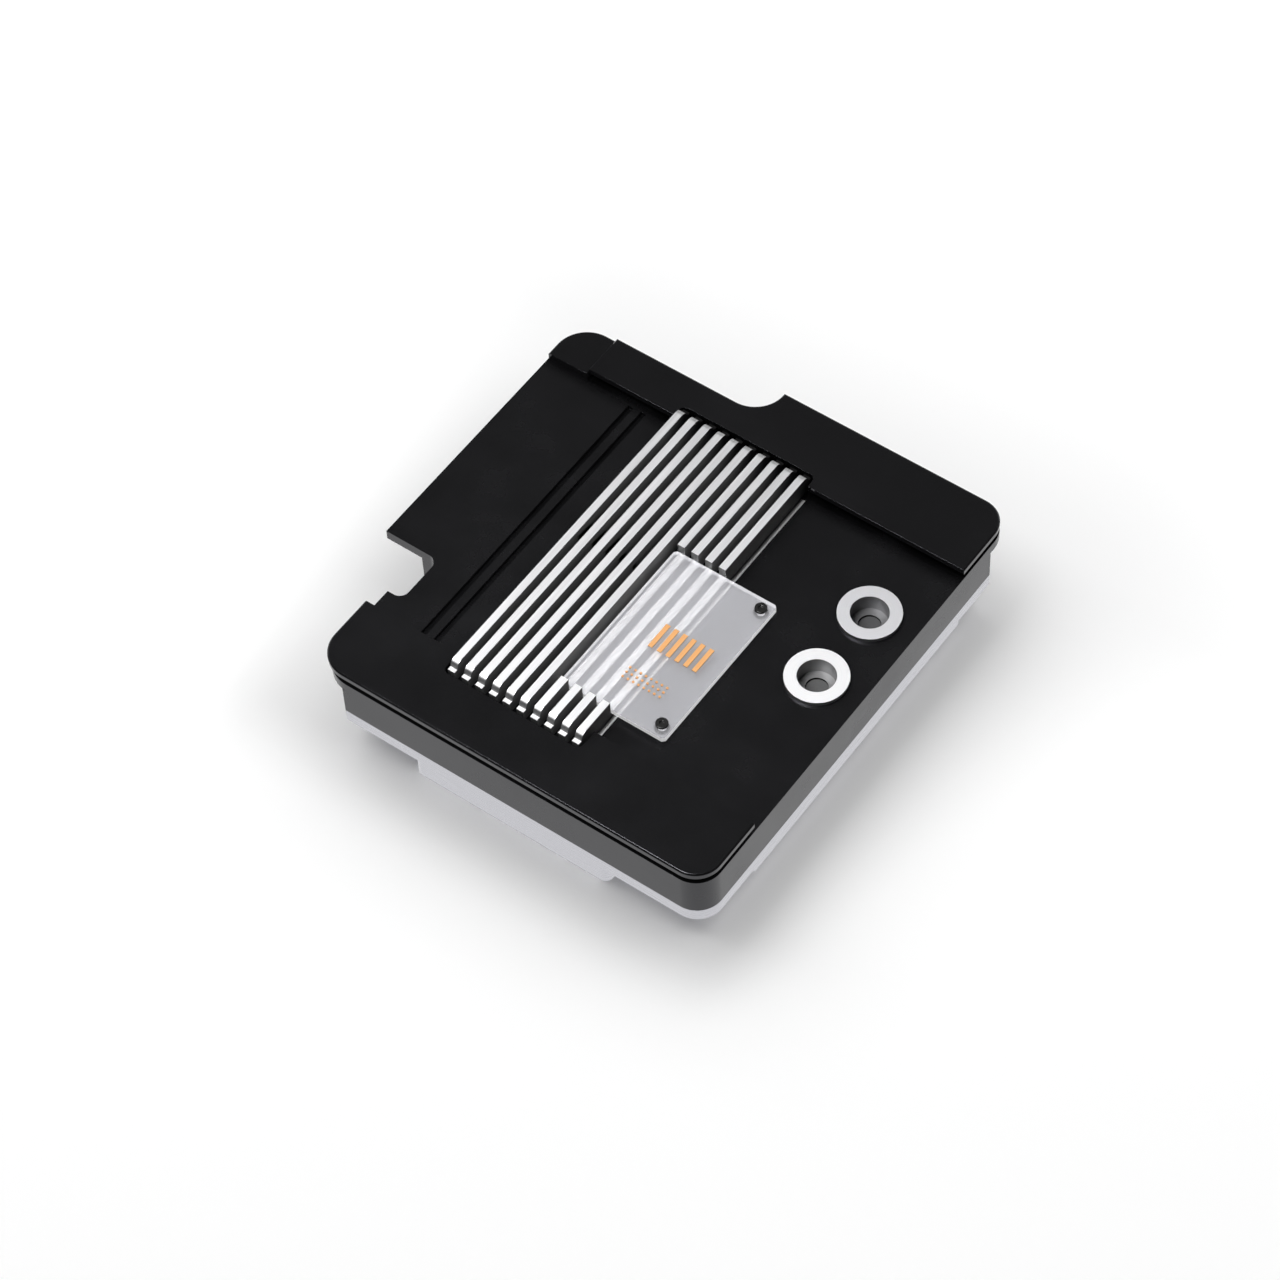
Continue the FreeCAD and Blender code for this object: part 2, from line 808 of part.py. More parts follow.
def name_plate_screws():
    """Two low socket screws from above."""
    seat = body_top + name_lift + name_thickness
    screws = []
    for x, y in name_screw_places():
        head = post(x, y, seat, seat + name_screw_head_height, name_screw_head_radius)
        shank = post(x, y, body_top - name_screw_grip, seat, name_screw_radius)
        depth = name_screw_head_height * socket_share
        socket = hex_socket(x, y, seat + name_screw_head_height - depth, depth,
                            name_screw_head_radius * hex_share)
        screws.append(head.fuse(shank).cut(socket))
    return Part.makeCompound(screws)


def name_plate_spacers():
    """Two sleeves under the clear plate, round its screws."""
    sleeves = []
    for x, y in name_screw_places():
        sleeve = post(x, y, body_top, body_top + name_lift, spacer_radius)
        sleeves.append(sleeve.cut(post(x, y, body_top, body_top + name_lift, name_screw_radius + fit_gap)))
    return Part.makeCompound(sleeves)


def port_bush(y):
    """Turned port bush: ring, threaded bore, narrow throat with a floor, and a side window to the riser."""
    ring_top = body_top + port_ring_thickness
    bore_floor = ring_top - port_bore_depth
    throat_floor = bore_floor - port_throat_depth
    bush = joined([post(port_x, y, body_top, ring_top, port_ring_radius),
                   post(port_x, y, barrel_bottom, body_top, port_barrel_radius)])
    groove_top = body_top - port_seal_drop
    groove_bottom = groove_top - port_seal_section - fit_gap
    groove_radius = port_barrel_radius - port_seal_section + fit_gap
    groove = post(port_x, y, groove_bottom, groove_top, port_barrel_radius + fit_gap)
    groove = groove.cut(post(port_x, y, groove_bottom, groove_top, groove_radius))
    window = block(port_x - port_window_width / 2, port_x + port_window_width / 2,
                   y - port_barrel_radius - fit_gap, y, throat_floor, throat_floor + port_window_height)
    return bush.cut([post(port_x, y, bore_floor, ring_top, port_bore_radius),
                     post(port_x, y, throat_floor, bore_floor, port_throat_radius), groove, window])


def port_seal(y):
    """O-ring in the groove of a port bush."""
    section = port_seal_section / 2 - port_seal_squeeze
    height = body_top - port_seal_drop - port_seal_section / 2
    return Part.makeTorus(port_barrel_radius - port_seal_section / 2 + port_seal_squeeze, section,
                          vec(port_x, y, height), vec(0, 0, 1))


def flow_plate():
    """Steel plate over the fins with one long slot."""
    plate = slab(flow_plate_face(0), flow_plate_bottom, flow_plate_bottom + flow_plate_thickness)
    x0, x1 = fin_span()
    slot = block(x0 + plenum_margin, x1 - plenum_margin, fin_y - flow_slot_width / 2,
                 fin_y + flow_slot_width / 2, flow_plate_bottom, chamber_roof)
    holes = [post(x, y, flow_plate_bottom, chamber_roof, flow_screw_radius + fit_gap)
             for x, y in flow_screw_places()]
    return plate.cut([slot] + holes)


def flow_gasket():
    """Flat gasket between flow plate and body, open at the plenum."""
    gasket = slab(flow_plate_face(0), chamber_roof - gasket_thickness, chamber_roof)
    opening = slab(plenum_face(), chamber_roof - gasket_thickness, chamber_roof)
    holes = [post(x, y, flow_plate_bottom, chamber_roof, flow_screw_radius + fit_gap)
             for x, y in flow_screw_places()]
    return gasket.cut([opening] + holes)


def flow_plate_screws():
    """Small screws from below through flow plate and gasket."""
    tip = chamber_roof + flow_screw_grip
    return Part.makeCompound([
        upward_screw(x, y, flow_plate_bottom, tip, flow_screw_radius, flow_screw_head_radius,
                     flow_screw_head_height)
        for x, y in flow_screw_places()])


def main_seal():
    """Seal cord in its groove round all wet spaces, on the copper plate."""
    return seal_ring(seal_section, base_top, base_top + seal_groove_depth)


def base_screws():
    """Flat-head screws through the copper plate."""
    screws = []
    for x, y in base_screw_places():
        head = Part.makeCone(base_screw_head_radius, base_screw_radius, base_screw_head_height,
                             vec(x, y, base_bottom))
        shank = post(x, y, base_bottom, base_top + base_screw_grip, base_screw_radius)
        depth = base_screw_head_height * socket_share
        socket = hex_socket(x, y, base_bottom, depth, base_screw_head_radius * hex_share)
        screws.append(head.fuse(shank).cut(socket))
    return Part.makeCompound(screws)


def base_screw_inserts():
    """Threaded sleeves in the body for the base screws."""
    top = base_top + insert_length
    sleeves = []
    for x, y in base_screw_places():
        sleeve = post(x, y, base_top, top, base_screw_radius + insert_wall)
        sleeves.append(sleeve.cut(post(x, y, base_top, top, base_screw_radius + thread_gap)))
    return Part.makeCompound(sleeves)


def mount_inserts():
    """Threaded sleeves in the underside of the copper plate."""
    sleeves = []
    for x, y in mount_places():
        top = base_bottom + mount_insert_length
        sleeve = post(x, y, base_bottom, top, mount_thread_radius + insert_wall)
        sleeves.append(sleeve.cut(post(x, y, base_bottom, top, mount_thread_radius)))
    return Part.makeCompound(sleeves)


def locating_pins():
    """Dowels between copper plate and body."""
    return Part.makeCompound([post(x, y, base_top - pin_length / 2, base_top + pin_length / 2, pin_radius)
                              for x, y in pin_places()])


def cover_screws(places, surface):
    """Screws from below through the flange into a cover."""
    tip = cover_screw_tip_height(surface) - fit_gap
    return Part.makeCompound([
        upward_screw(x, y, flange_bottom, tip, cover_screw_radius, cover_screw_head_radius,
                     cover_screw_head_height)
        for x, y in places])


def all_parts():
    """Every piece by name."""
    return {
        "cold_plate": cold_plate(),
        "manifold_body": manifold_body(),
        "front_cover": front_cover(),
        "rear_cover": rear_cover(),
        "corner_cover": corner_cover(),
        "rib_bars": rib_bars(),
        "side_rails": side_rails(),
        "name_plate": name_plate(),
        "name_plate_inlay": name_plate_inlay(),
        "name_plate_screws": name_plate_screws(),
        "name_plate_spacers": name_plate_spacers(),
        "inlet_port": port_bush(inlet_y),
        "outlet_port": port_bush(outlet_y),
        "inlet_port_seal": port_seal(inlet_y),
        "outlet_port_seal": port_seal(outlet_y),
        "flow_plate": flow_plate(),
        "flow_gasket": flow_gasket(),
        "flow_plate_screws": flow_plate_screws(),
        "main_seal": main_seal(),
        "base_screws": base_screws(),
        "base_screw_inserts": base_screw_inserts(),
        "locating_pins": locating_pins(),
        "mount_inserts": mount_inserts(),
        "front_cover_screws": cover_screws(front_cover_screw_places(), cover_top),
        "rear_cover_screws": cover_screws(rear_cover_screw_places(), cover_top),
        "corner_cover_screws": cover_screws(corner_cover_screw_places(), body_top + corner_cover_thickness),
    }


os.makedirs("parts", exist_ok=True)
for name, shape in all_parts().items():
    print(name, "solids", len(shape.Solids), "valid", shape.isValid(), "volume", round(shape.Volume, 1))
    shape.exportStep("parts/" + name + ".step")
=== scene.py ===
# %% [markdown]
# # Liquid cooling cold plate
# A nickel-plated copper plate carries a black plastic body with two ports, three covers, ten bright rib
# bars and a clear name plate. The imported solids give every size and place. This file gives them their
# finishes, fine edges, light and camera.

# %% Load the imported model
import math

import bmesh
import bpy
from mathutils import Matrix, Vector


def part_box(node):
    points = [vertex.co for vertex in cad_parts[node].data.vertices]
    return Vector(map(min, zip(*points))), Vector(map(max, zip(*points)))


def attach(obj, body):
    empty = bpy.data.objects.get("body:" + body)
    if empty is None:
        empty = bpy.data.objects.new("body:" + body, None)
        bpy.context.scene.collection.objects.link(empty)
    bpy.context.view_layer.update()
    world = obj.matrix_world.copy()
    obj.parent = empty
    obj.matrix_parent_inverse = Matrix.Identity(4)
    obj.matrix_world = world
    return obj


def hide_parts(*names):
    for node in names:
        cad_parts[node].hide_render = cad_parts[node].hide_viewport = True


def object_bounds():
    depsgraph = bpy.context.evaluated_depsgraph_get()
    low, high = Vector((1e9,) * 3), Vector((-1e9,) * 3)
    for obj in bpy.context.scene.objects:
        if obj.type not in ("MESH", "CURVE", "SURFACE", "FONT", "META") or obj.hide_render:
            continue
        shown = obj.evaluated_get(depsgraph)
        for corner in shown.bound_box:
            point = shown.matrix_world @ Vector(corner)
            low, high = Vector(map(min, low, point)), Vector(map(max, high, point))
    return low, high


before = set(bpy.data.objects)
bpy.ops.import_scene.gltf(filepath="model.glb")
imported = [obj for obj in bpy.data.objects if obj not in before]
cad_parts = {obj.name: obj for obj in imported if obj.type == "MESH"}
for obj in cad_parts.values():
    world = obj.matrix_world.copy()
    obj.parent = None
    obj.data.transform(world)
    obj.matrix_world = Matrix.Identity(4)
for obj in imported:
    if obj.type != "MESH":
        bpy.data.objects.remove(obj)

MM = 0.001
cad_box = [list(map(float, corner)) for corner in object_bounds()]
print("solids:", len(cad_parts), "box in mm:", [[round(v / MM, 2) for v in c] for c in cad_box])

# %% [markdown]
# ## Camera
# The plate was photographed from the front right, looking well down on it. A long lens keeps the two
# sides almost parallel. The image centre isn't the centre of the lens here, so a small shift frames it.

# %% Camera
camera_data = bpy.data.cameras.new("camera")
camera_data.sensor_width = 36
camera_data.lens = 116.55
camera_data.shift_x = -0.140625
camera_data.shift_y = -0.03125
camera_data.clip_start = 0.01
camera = bpy.data.objects.new("camera", camera_data)
camera.location = (0.508575, -0.64492, 1.123)
camera.rotation_euler = (math.radians(36.58), 0, math.radians(34.32))
bpy.context.scene.collection.objects.link(camera)
bpy.context.scene.camera = camera
bpy.context.scene.view_settings.view_transform = "Standard"
print("camera height over the floor:", camera.location.z, "m")

# %% [markdown]
# ## Small helpers for shader trees
# A finish is a chain of nodes. Short helpers add a node with its values, join two sockets, calculate with
# numbers or sockets, and turn one range of values into another, so that each finish below reads as one
# list.


# %% Node helpers
def add(tree, kind, settings=None, **values):
    """A node of `kind`. `settings` are its options and `values` its input values by name."""
    node = tree.nodes.new(kind)
    for key, value in (settings or {}).items():
        setattr(node, key, value)
    for key, value in values.items():
        node.inputs[key.replace("_", " ")].default_value = value
    return node


def join(tree, source, target):
    tree.links.new(source, target)


def feed(tree, node, values):
    """Give the first inputs of a node their values. Each is a number or an output of another node."""
    for target, value in zip(node.inputs, values):
        if isinstance(value, (int, float)):
            target.default_value = value
        else:
            join(tree, value, target)


def calculate(tree, operation, *values):
    node = add(tree, "ShaderNodeMath", {"operation": operation})
    feed(tree, node, values)
    return node.outputs[0]


def remap(tree, value, low, high, start, end, smooth=False):
    """`start` where `value` is at `low`, `end` where it is at `high`, and in between in proportion."""
    kind = "SMOOTHSTEP" if smooth else "LINEAR"
    node = add(tree, "ShaderNodeMapRange", {"interpolation_type": kind},
               From_Min=low, From_Max=high, To_Min=start, To_Max=end)
    join(tree, value, node.inputs["Value"])
    return node.outputs[0]


print("helpers: add, join, feed, calculate, remap")

# %% [markdown]
# ## Floor
# The floor is plain and pale. A mirror-like side of the plate would show the floor's own shadow as a dark
# band. A studio floor lit from all round looks even in such a reflection, so rays that come from a
# reflection or through clear plastic see it plain white, and the camera sees it with the soft shadow.
# Away from the plate the floor brightens to plain white, as it does in the photo, and it does so more
# slowly behind the plate.

# %% Floor
FLOOR_HALF = 4.0
FLOOR_DROP = 0.2 * MM
FLOOR_GLOW_REACH = 32 * MM
FLOOR_GLOW_STRENGTH = 0.15
SLOW_FROM, SLOW_TO = -90 * MM, 100 * MM
SLOW_SHARE = 0.25
corners = [(-1, -1), (1, -1), (1, 1), (-1, 1)]
floor_mesh = bpy.data.meshes.new("floor")
floor_mesh.from_pydata([(x * FLOOR_HALF, y * FLOOR_HALF, -FLOOR_DROP) for x, y in corners], [],
                       [(0, 1, 2, 3)])
floor = bpy.data.objects.new("floor", floor_mesh)
bpy.context.scene.collection.objects.link(floor)

floor_paint = bpy.data.materials.new("pale floor")
floor_paint.use_nodes = True
tree = floor_paint.node_tree
tree.nodes.clear()
output = add(tree, "ShaderNodeOutputMaterial")
matte = add(tree, "ShaderNodeBsdfDiffuse", Color=(0.9, 0.9, 0.9, 1))
place = add(tree, "ShaderNodeTexCoord")
aside = add(tree, "ShaderNodeVectorMath", {"operation": "ABSOLUTE"})
beyond = add(tree, "ShaderNodeVectorMath", {"operation": "SUBTRACT"})
beyond.inputs[1].default_value = (cad_box[1][0], cad_box[1][1], 1.0)
outside = add(tree, "ShaderNodeVectorMath", {"operation": "MAXIMUM"})
distance = add(tree, "ShaderNodeVectorMath", {"operation": "LENGTH"})
along = add(tree, "ShaderNodeSeparateXYZ")
join(tree, place.outputs["Object"], aside.inputs[0])
join(tree, aside.outputs[0], beyond.inputs[0])
join(tree, beyond.outputs[0], outside.inputs[0])
join(tree, outside.outputs[0], distance.inputs[0])
join(tree, place.outputs["Object"], along.inputs[0])
slowing = remap(tree, along.outputs["Y"], SLOW_FROM, SLOW_TO, 1.0, SLOW_SHARE)
slowed = calculate(tree, "MULTIPLY", distance.outputs["Value"], slowing)
# Painted light: the floor glows, and the glow grows with the distance from the plate, so that the floor
# turns plain white beyond the shadow.
painted_floor_glow = add(tree, "ShaderNodeEmission", Color=(1, 1, 1, 1))
shown = add(tree, "ShaderNodeAddShader")
plain_white = add(tree, "ShaderNodeEmission", Color=(1, 1, 1, 1), Strength=1.0)
light_path = add(tree, "ShaderNodeLightPath")
mirrored = calculate(tree, "MAXIMUM", light_path.outputs["Is Glossy Ray"],
                     light_path.outputs["Is Transmission Ray"])
choose = add(tree, "ShaderNodeMixShader")
join(tree, remap(tree, slowed, 0.0, FLOOR_GLOW_REACH, 0.0, FLOOR_GLOW_STRENGTH, smooth=True), painted_floor_glow.inputs["Strength"])
join(tree, matte.outputs[0], shown.inputs[0])
join(tree, painted_floor_glow.outputs[0], shown.inputs[1])
feed(tree, choose, (mirrored, shown.outputs[0], plain_white.outputs[0]))
join(tree, choose.outputs[0], output.inputs["Surface"])
floor_mesh.materials.append(floor_paint)
print("floor:", 2 * FLOOR_HALF, "m square")

# %% [markdown]
# ## Light
# Black plastic shows what stands opposite the camera, so the room above is kept dark there and pale only
# near the horizon. Two broad panels, at the left and behind, and an even sky give the plain level of light
# and the soft shadow, and stay out of reflections. A third panel is seen in reflections alone and gives
# the metal its shine.

# %% World
HORIZON, ROOM_TOP = 0.02, 0.3
HORIZON_LIGHT, ROOM_LIGHT, SKY_LIGHT = 0.5, 0.04, 0.26
world = bpy.data.worlds.new("studio")
bpy.context.scene.world = world
world.use_nodes = True
tree = world.node_tree
tree.nodes.clear()
output = add(tree, "ShaderNodeOutputWorld")
direction = add(tree, "ShaderNodeTexCoord")
height = add(tree, "ShaderNodeSeparateXYZ")
room = add(tree, "ShaderNodeBackground", Color=(1, 1, 1, 1))
sky = add(tree, "ShaderNodeBackground", Color=(1, 1, 1, 1), Strength=SKY_LIGHT)
light_path = add(tree, "ShaderNodeLightPath")
choose = add(tree, "ShaderNodeMixShader")
join(tree, direction.outputs["Generated"], height.inputs[0])
fade = remap(tree, height.outputs["Z"], HORIZON, ROOM_TOP, HORIZON_LIGHT, ROOM_LIGHT, smooth=True)
join(tree, fade, room.inputs["Strength"])
feed(tree, choose, (light_path.outputs["Is Glossy Ray"], sky.outputs[0], room.outputs[0]))
join(tree, choose.outputs[0], output.inputs["Surface"])
print("world: even soft light, and a dark room in reflections")


# %% Light panels
def panel(name, place, size, radiance, diffuse, glossy):
    """Level panel at `place` that faces down. Radiance 1 looks white."""
    data = bpy.data.lights.new(name, "AREA")
    data.shape = "RECTANGLE"
    data.size, data.size_y = size
    data.energy = radiance * math.pi * size[0] * size[1]
    lamp = bpy.data.objects.new(name, data)
    lamp.location = place
    lamp.visible_camera = False
    lamp.visible_diffuse = diffuse
    lamp.visible_glossy = glossy
    lamp.visible_transmission = glossy
    bpy.context.scene.collection.objects.link(lamp)
    return lamp


panel("left panel", (-2.5, 1.0, 2.0), (4.0, 4.0), 2.1, True, False)
panel("back panel", (0.5, 2.0, 2.0), (4.0, 4.0), 1.2, True, False)
panel("shine panel", (-0.22, -0.55, 1.2), (0.47, 1.0), 21.0, False, True)

# %% [markdown]
# ## Shared effects
# Each effect that more than one finish uses is a node group: fine grain for plastic and rubber, brushed
# lines for flat metal, and rings for turned metal. They give only values that change over the surface.
# All three start and end alike: they take a smoothest and a roughest value, and give a roughness, a
# height and a shade.


# %% Start and end of an effect
def socket(group, name, way, kind, value=None):
    made = group.interface.new_socket(name=name, in_out=way, socket_type="NodeSocket" + kind)
    if value is not None:
        made.default_value = value


def start_effect(name, inputs):
    """Group with the inputs (name, kind, value), its two end nodes and the place on the surface."""
    group = bpy.data.node_groups.new(name, "ShaderNodeTree")
    for input_name, kind, value in inputs:
        socket(group, input_name, "INPUT", kind, value)
    for output_name in ("Roughness", "Height", "Shade"):
        socket(group, output_name, "OUTPUT", "Float")
    ends = add(group, "NodeGroupInput"), add(group, "NodeGroupOutput")
    return group, ends, add(group, "ShaderNodeTexCoord").outputs["Object"]


def end_effect(group, ends, rough_pattern, fine_pattern, darkest, lightest):
    """Roughness follows one pattern. Height and shade follow the other."""
    spread = add(group, "ShaderNodeMapRange", From_Min=0.3, From_Max=0.7)
    join(group, rough_pattern, spread.inputs["Value"])
    join(group, ends[0].outputs["Smooth"], spread.inputs["To Min"])
    join(group, ends[0].outputs["Rough"], spread.inputs["To Max"])
    join(group, spread.outputs[0], ends[1].inputs["Roughness"])
    join(group, fine_pattern, ends[1].inputs["Height"])
    join(group, remap(group, fine_pattern, 0.0, 1.0, darkest, lightest), ends[1].inputs["Shade"])
    return group


print("helpers: socket, start_effect, end_effect")


# %% Fine grain
def fine_grain_group():
    """Even satin surface: roughness clouds from handling and a very fine grain."""
    group, ends, place = start_effect("fine grain", [
        ("Cloud Scale", "Float", 40.0), ("Grain Scale", "Float", 4000.0),
        ("Smooth", "Float", 0.2), ("Rough", "Float", 0.3)])
    clouds = add(group, "ShaderNodeTexNoise", Detail=4.0, Roughness=0.6)
    grain = add(group, "ShaderNodeTexNoise", Detail=2.0)
    for texture, scale in ((clouds, "Cloud Scale"), (grain, "Grain Scale")):
        join(group, place, texture.inputs["Vector"])
        join(group, ends[0].outputs[scale], texture.inputs["Scale"])
    return end_effect(group, ends, clouds.outputs[0], grain.outputs[0], 0.85, 1.15)


fine_grain = fine_grain_group()
print("group:", fine_grain.name, [s.name for s in fine_grain.interface.items_tree])


# %% Brushed lines
def brushed_group():
    """Long fine lines: noise that is squeezed across the brushing and drawn out along it."""
    group, ends, place = start_effect("brushed lines", [
        ("Stretch", "Vector", (2500.0, 20.0, 2500.0)), ("Smooth", "Float", 0.3), ("Rough", "Float", 0.4)])
    drawn = add(group, "ShaderNodeVectorMath", {"operation": "MULTIPLY"})
    lines = add(group, "ShaderNodeTexNoise", Scale=1.0, Detail=4.0, Roughness=0.65)
    join(group, place, drawn.inputs[0])
    join(group, ends[0].outputs["Stretch"], drawn.inputs[1])
    join(group, drawn.outputs[0], lines.inputs["Vector"])
    return end_effect(group, ends, lines.outputs[0], lines.outputs[0], 0.86, 1.1)


brushed_lines = brushed_group()
print("group:", brushed_lines.name)


# %% Turned rings
def turned_group():
    """Fine rings round an upright axis: noise that depends only on the distance from the axis."""
    group, ends, place = start_effect("turned rings", [
        ("Axis", "Vector", (0.0, 0.0, 0.0)), ("Ring Scale", "Float", 5000.0),
        ("Smooth", "Float", 0.25), ("Rough", "Float", 0.4)])
    offset = add(group, "ShaderNodeVectorMath", {"operation": "SUBTRACT"})
    flat = add(group, "ShaderNodeVectorMath", {"operation": "MULTIPLY"})
    flat.inputs[1].default_value = (1, 1, 0)
    radius = add(group, "ShaderNodeVectorMath", {"operation": "LENGTH"})
    rings = add(group, "ShaderNodeTexNoise", {"noise_dimensions": "1D"}, Detail=3.0)
    join(group, place, offset.inputs[0])
    join(group, ends[0].outputs["Axis"], offset.inputs[1])
    join(group, offset.outputs[0], flat.inputs[0])
    join(group, flat.outputs[0], radius.inputs[0])
    join(group, radius.outputs["Value"], rings.inputs["W"])
    join(group, ends[0].outputs["Ring Scale"], rings.inputs["Scale"])
    return end_effect(group, ends, rings.outputs[0], rings.outputs[0], 0.9, 1.08)


turned_rings = turned_group()
print("group:", turned_rings.name)

# %% [markdown]
# ## Finishes
# Every finish is one Principled shader. A shared effect gives its roughness, a faint change of colour and
# a bump, and the numbers that stay the same all over are set on the shader itself. A zone changes the
# roughness and colour in one part of a surface, mostly as painted shade, such as at the foot of a wall or
# inside a bore.


# %% Zones of a finish
RIB_MIDDLE_X = (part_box("side_rails")[0].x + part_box("side_rails")[1].x) / 2
RIB_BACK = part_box("rib_bars")[1].y
BACK_SHADE_START, BACK_SHADE_REACH = 3 * MM, 16 * MM


def guide(tree, kind):
    """What a zone follows: "level" is 1 on faces that look up, "height" is z, "length" is y, "side" is
    the distance from the middle line of the ribs. "shelter" is 0 on upright faces at the back end of the
    ribs and 1 on level faces and further to the front."""
    source = add(tree, "ShaderNodeNewGeometry") if kind == "level" else add(tree, "ShaderNodeTexCoord")
    parts = add(tree, "ShaderNodeSeparateXYZ")
    join(tree, source.outputs["True Normal" if kind == "level" else "Object"], parts.inputs[0])
    if kind == "side":
        return calculate(tree, "ABSOLUTE", calculate(tree, "SUBTRACT", parts.outputs["X"], RIB_MIDDLE_X))
    if kind == "back_shade":
        opening = remap(tree, parts.outputs["Y"], RIB_BACK - BACK_SHADE_START, RIB_BACK - BACK_SHADE_REACH,
                        0.0, 1.0)
        return calculate(tree, "MAXIMUM", opening, guide(tree, "level"))
    return parts.outputs["Y" if kind == "length" else "Z"]


print("middle line of the ribs, x in mm:", round(RIB_MIDDLE_X / MM, 2))


# %% Finish from a shared effect
def finish(name, group, color, bump, depth, effect=None, zones=(), metal_zone=None, calm=False,
           **shader_values):
    """Material whose roughness, shade and bump come from one shared effect.

    Each zone is (guide, low, high, roughness factor, shade factor). A metal zone is (guide, low, high):
    below it the metal is dull and scatters light as a matte surface does. A calm finish is rough in the
    reflection of another surface, so that it doesn't pass on the shine of the lamp."""
    material = bpy.data.materials.new(name)
    material.use_nodes = True
    tree = material.node_tree
    shader = tree.nodes["Principled BSDF"]
    for key, value in shader_values.items():
        shader.inputs[key.replace("_", " ")].default_value = value
    source = add(tree, "ShaderNodeGroup", {"node_tree": group})
    for key, value in (effect or {}).items():
        source.inputs[key].default_value = value
    roughness, shade = source.outputs["Roughness"], source.outputs["Shade"]
    for kind, low, high, roughness_factor, shade_factor in zones:
        follow = guide(tree, kind)
        rougher = remap(tree, follow, low, high, roughness_factor, 1.0)
        darker = remap(tree, follow, low, high, shade_factor, 1.0)
        roughness = calculate(tree, "MULTIPLY", roughness, rougher)
        shade = calculate(tree, "MULTIPLY", shade, darker)
    if calm:
        reflected = add(tree, "ShaderNodeLightPath").outputs["Is Glossy Ray"]
        roughness = calculate(tree, "MAXIMUM", roughness, reflected)
    if metal_zone:
        kind, low, high = metal_zone
        join(tree, remap(tree, guide(tree, kind), low, high, 0.0, 1.0), shader.inputs["Metallic"])
    tint = add(tree, "ShaderNodeMix", {"data_type": "RGBA", "blend_type": "MULTIPLY"})
    tint.inputs["Factor"].default_value = 1.0
    relief = add(tree, "ShaderNodeBump", Strength=bump, Distance=depth)
    base, colors = [s for s in tint.inputs if s.type == "RGBA"]
    base.default_value = (*color, 1)
    result = [s for s in tint.outputs if s.type == "RGBA"][0]
    join(tree, shade, colors)
    join(tree, result, shader.inputs["Base Color"])
    join(tree, roughness, shader.inputs["Roughness"])
    join(tree, source.outputs["Height"], relief.inputs["Height"])
    join(tree, relief.outputs[0], shader.inputs["Normal"])
    return material


FINE, COARSE = 0.02 * MM, 0.03 * MM
print("helper: finish")

# %% Black plastic
COOL_SHINE = (0.92, 0.92, 1.0, 1)
BODY_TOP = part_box("front_cover")[0].z
rear_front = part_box("rear_cover")[0].y
BLACK = (0.0078, 0.0078, 0.0082)
# Painted shade on the body: its colour is darker below the top face, in the grooves, slots and shadow gap
# and on the sides, and it darkens towards the rear cover and under it as a painted shadow of that cover.
black_body = finish("black acetal body", fine_grain, BLACK, 0.04, FINE,
                    {"Smooth": 0.2, "Rough": 0.3},
                    zones=[("height", BODY_TOP - 0.4 * MM, BODY_TOP - 0.1 * MM, 1.0, 0.15),
                           ("length", rear_front - 0.5 * MM, rear_front - 6 * MM, 1.0, 0.05)], calm=True,
                    Specular_Tint=COOL_SHINE)
black_cover = finish("black acetal cover", fine_grain, BLACK, 0.04, FINE,
                     {"Smooth": 0.18, "Rough": 0.27, "Cloud Scale": 25.0},
                     zones=[("level", 0.8, 0.95, 0.5, 1.0)], calm=True,
                     Specular_Tint=COOL_SHINE)
print("black:", black_body.name, black_cover.name)

# %% Plated and bright metal
nickel = finish("nickel plate", brushed_lines, (0.55, 0.55, 0.585), 0.02, FINE,
                {"Stretch": (150.0, 150.0, 6000.0), "Smooth": 0.24, "Rough": 0.3}, Metallic=1.0)
rib_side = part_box("rib_bars")[1].x - RIB_MIDDLE_X
# Painted shade on the rib bars: the upright walls and rounded ends are matte and darker than the tops, the
# outer walls of the two end bars darker still, and the back feet and the walls towards the back end almost
# black.
bright = finish("bright rib metal", brushed_lines, (0.93, 0.93, 0.94), 0.05, FINE,
                {"Stretch": (3000.0, 25.0, 3000.0), "Smooth": 0.5, "Rough": 0.6},
                zones=[("level", 0.7, 0.85, 1.0, 0.17), ("side", rib_side, rib_side - 0.2 * MM, 1.0, 0.25),
                       ("length", RIB_BACK - 1.4 * MM, RIB_BACK - 1.6 * MM, 1.0, 0.02),
                       ("back_shade", 0.0, 0.9, 1.0, 0.03)],
                metal_zone=("level", 0.7, 0.85))
rail_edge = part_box("side_rails")[1].x - RIB_MIDDLE_X
# Painted shade: the rail's colour darkens towards the foot of the rib wall beside it.
rail_metal = finish("rail metal", brushed_lines, (0.85, 0.85, 0.86), 0.05, FINE,
                    {"Stretch": (3000.0, 25.0, 3000.0), "Smooth": 0.45, "Rough": 0.55},
                    zones=[("side", rail_edge - 1.9 * MM, rail_edge - 0.5 * MM, 0.5, 0.08)], Metallic=1.0)
print("metal:", nickel.name, bright.name, rail_metal.name)

# %% Turned ports
PORT_AXES = {"inlet_port": (0.06756, -0.00071, 0.0), "outlet_port": (0.06756, 0.03005, 0.0)}
# Both ports are the same nickel. The outlet port, further back, is coloured darker as painted shade.
PORT_SHADED_COLORS = {"inlet_port": (0.97, 0.97, 0.98), "outlet_port": (0.79, 0.79, 0.81)}
RING_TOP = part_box("inlet_port")[1].z
BORE_DEPTH = 6.6 * MM
bore_end = RING_TOP - BORE_DEPTH
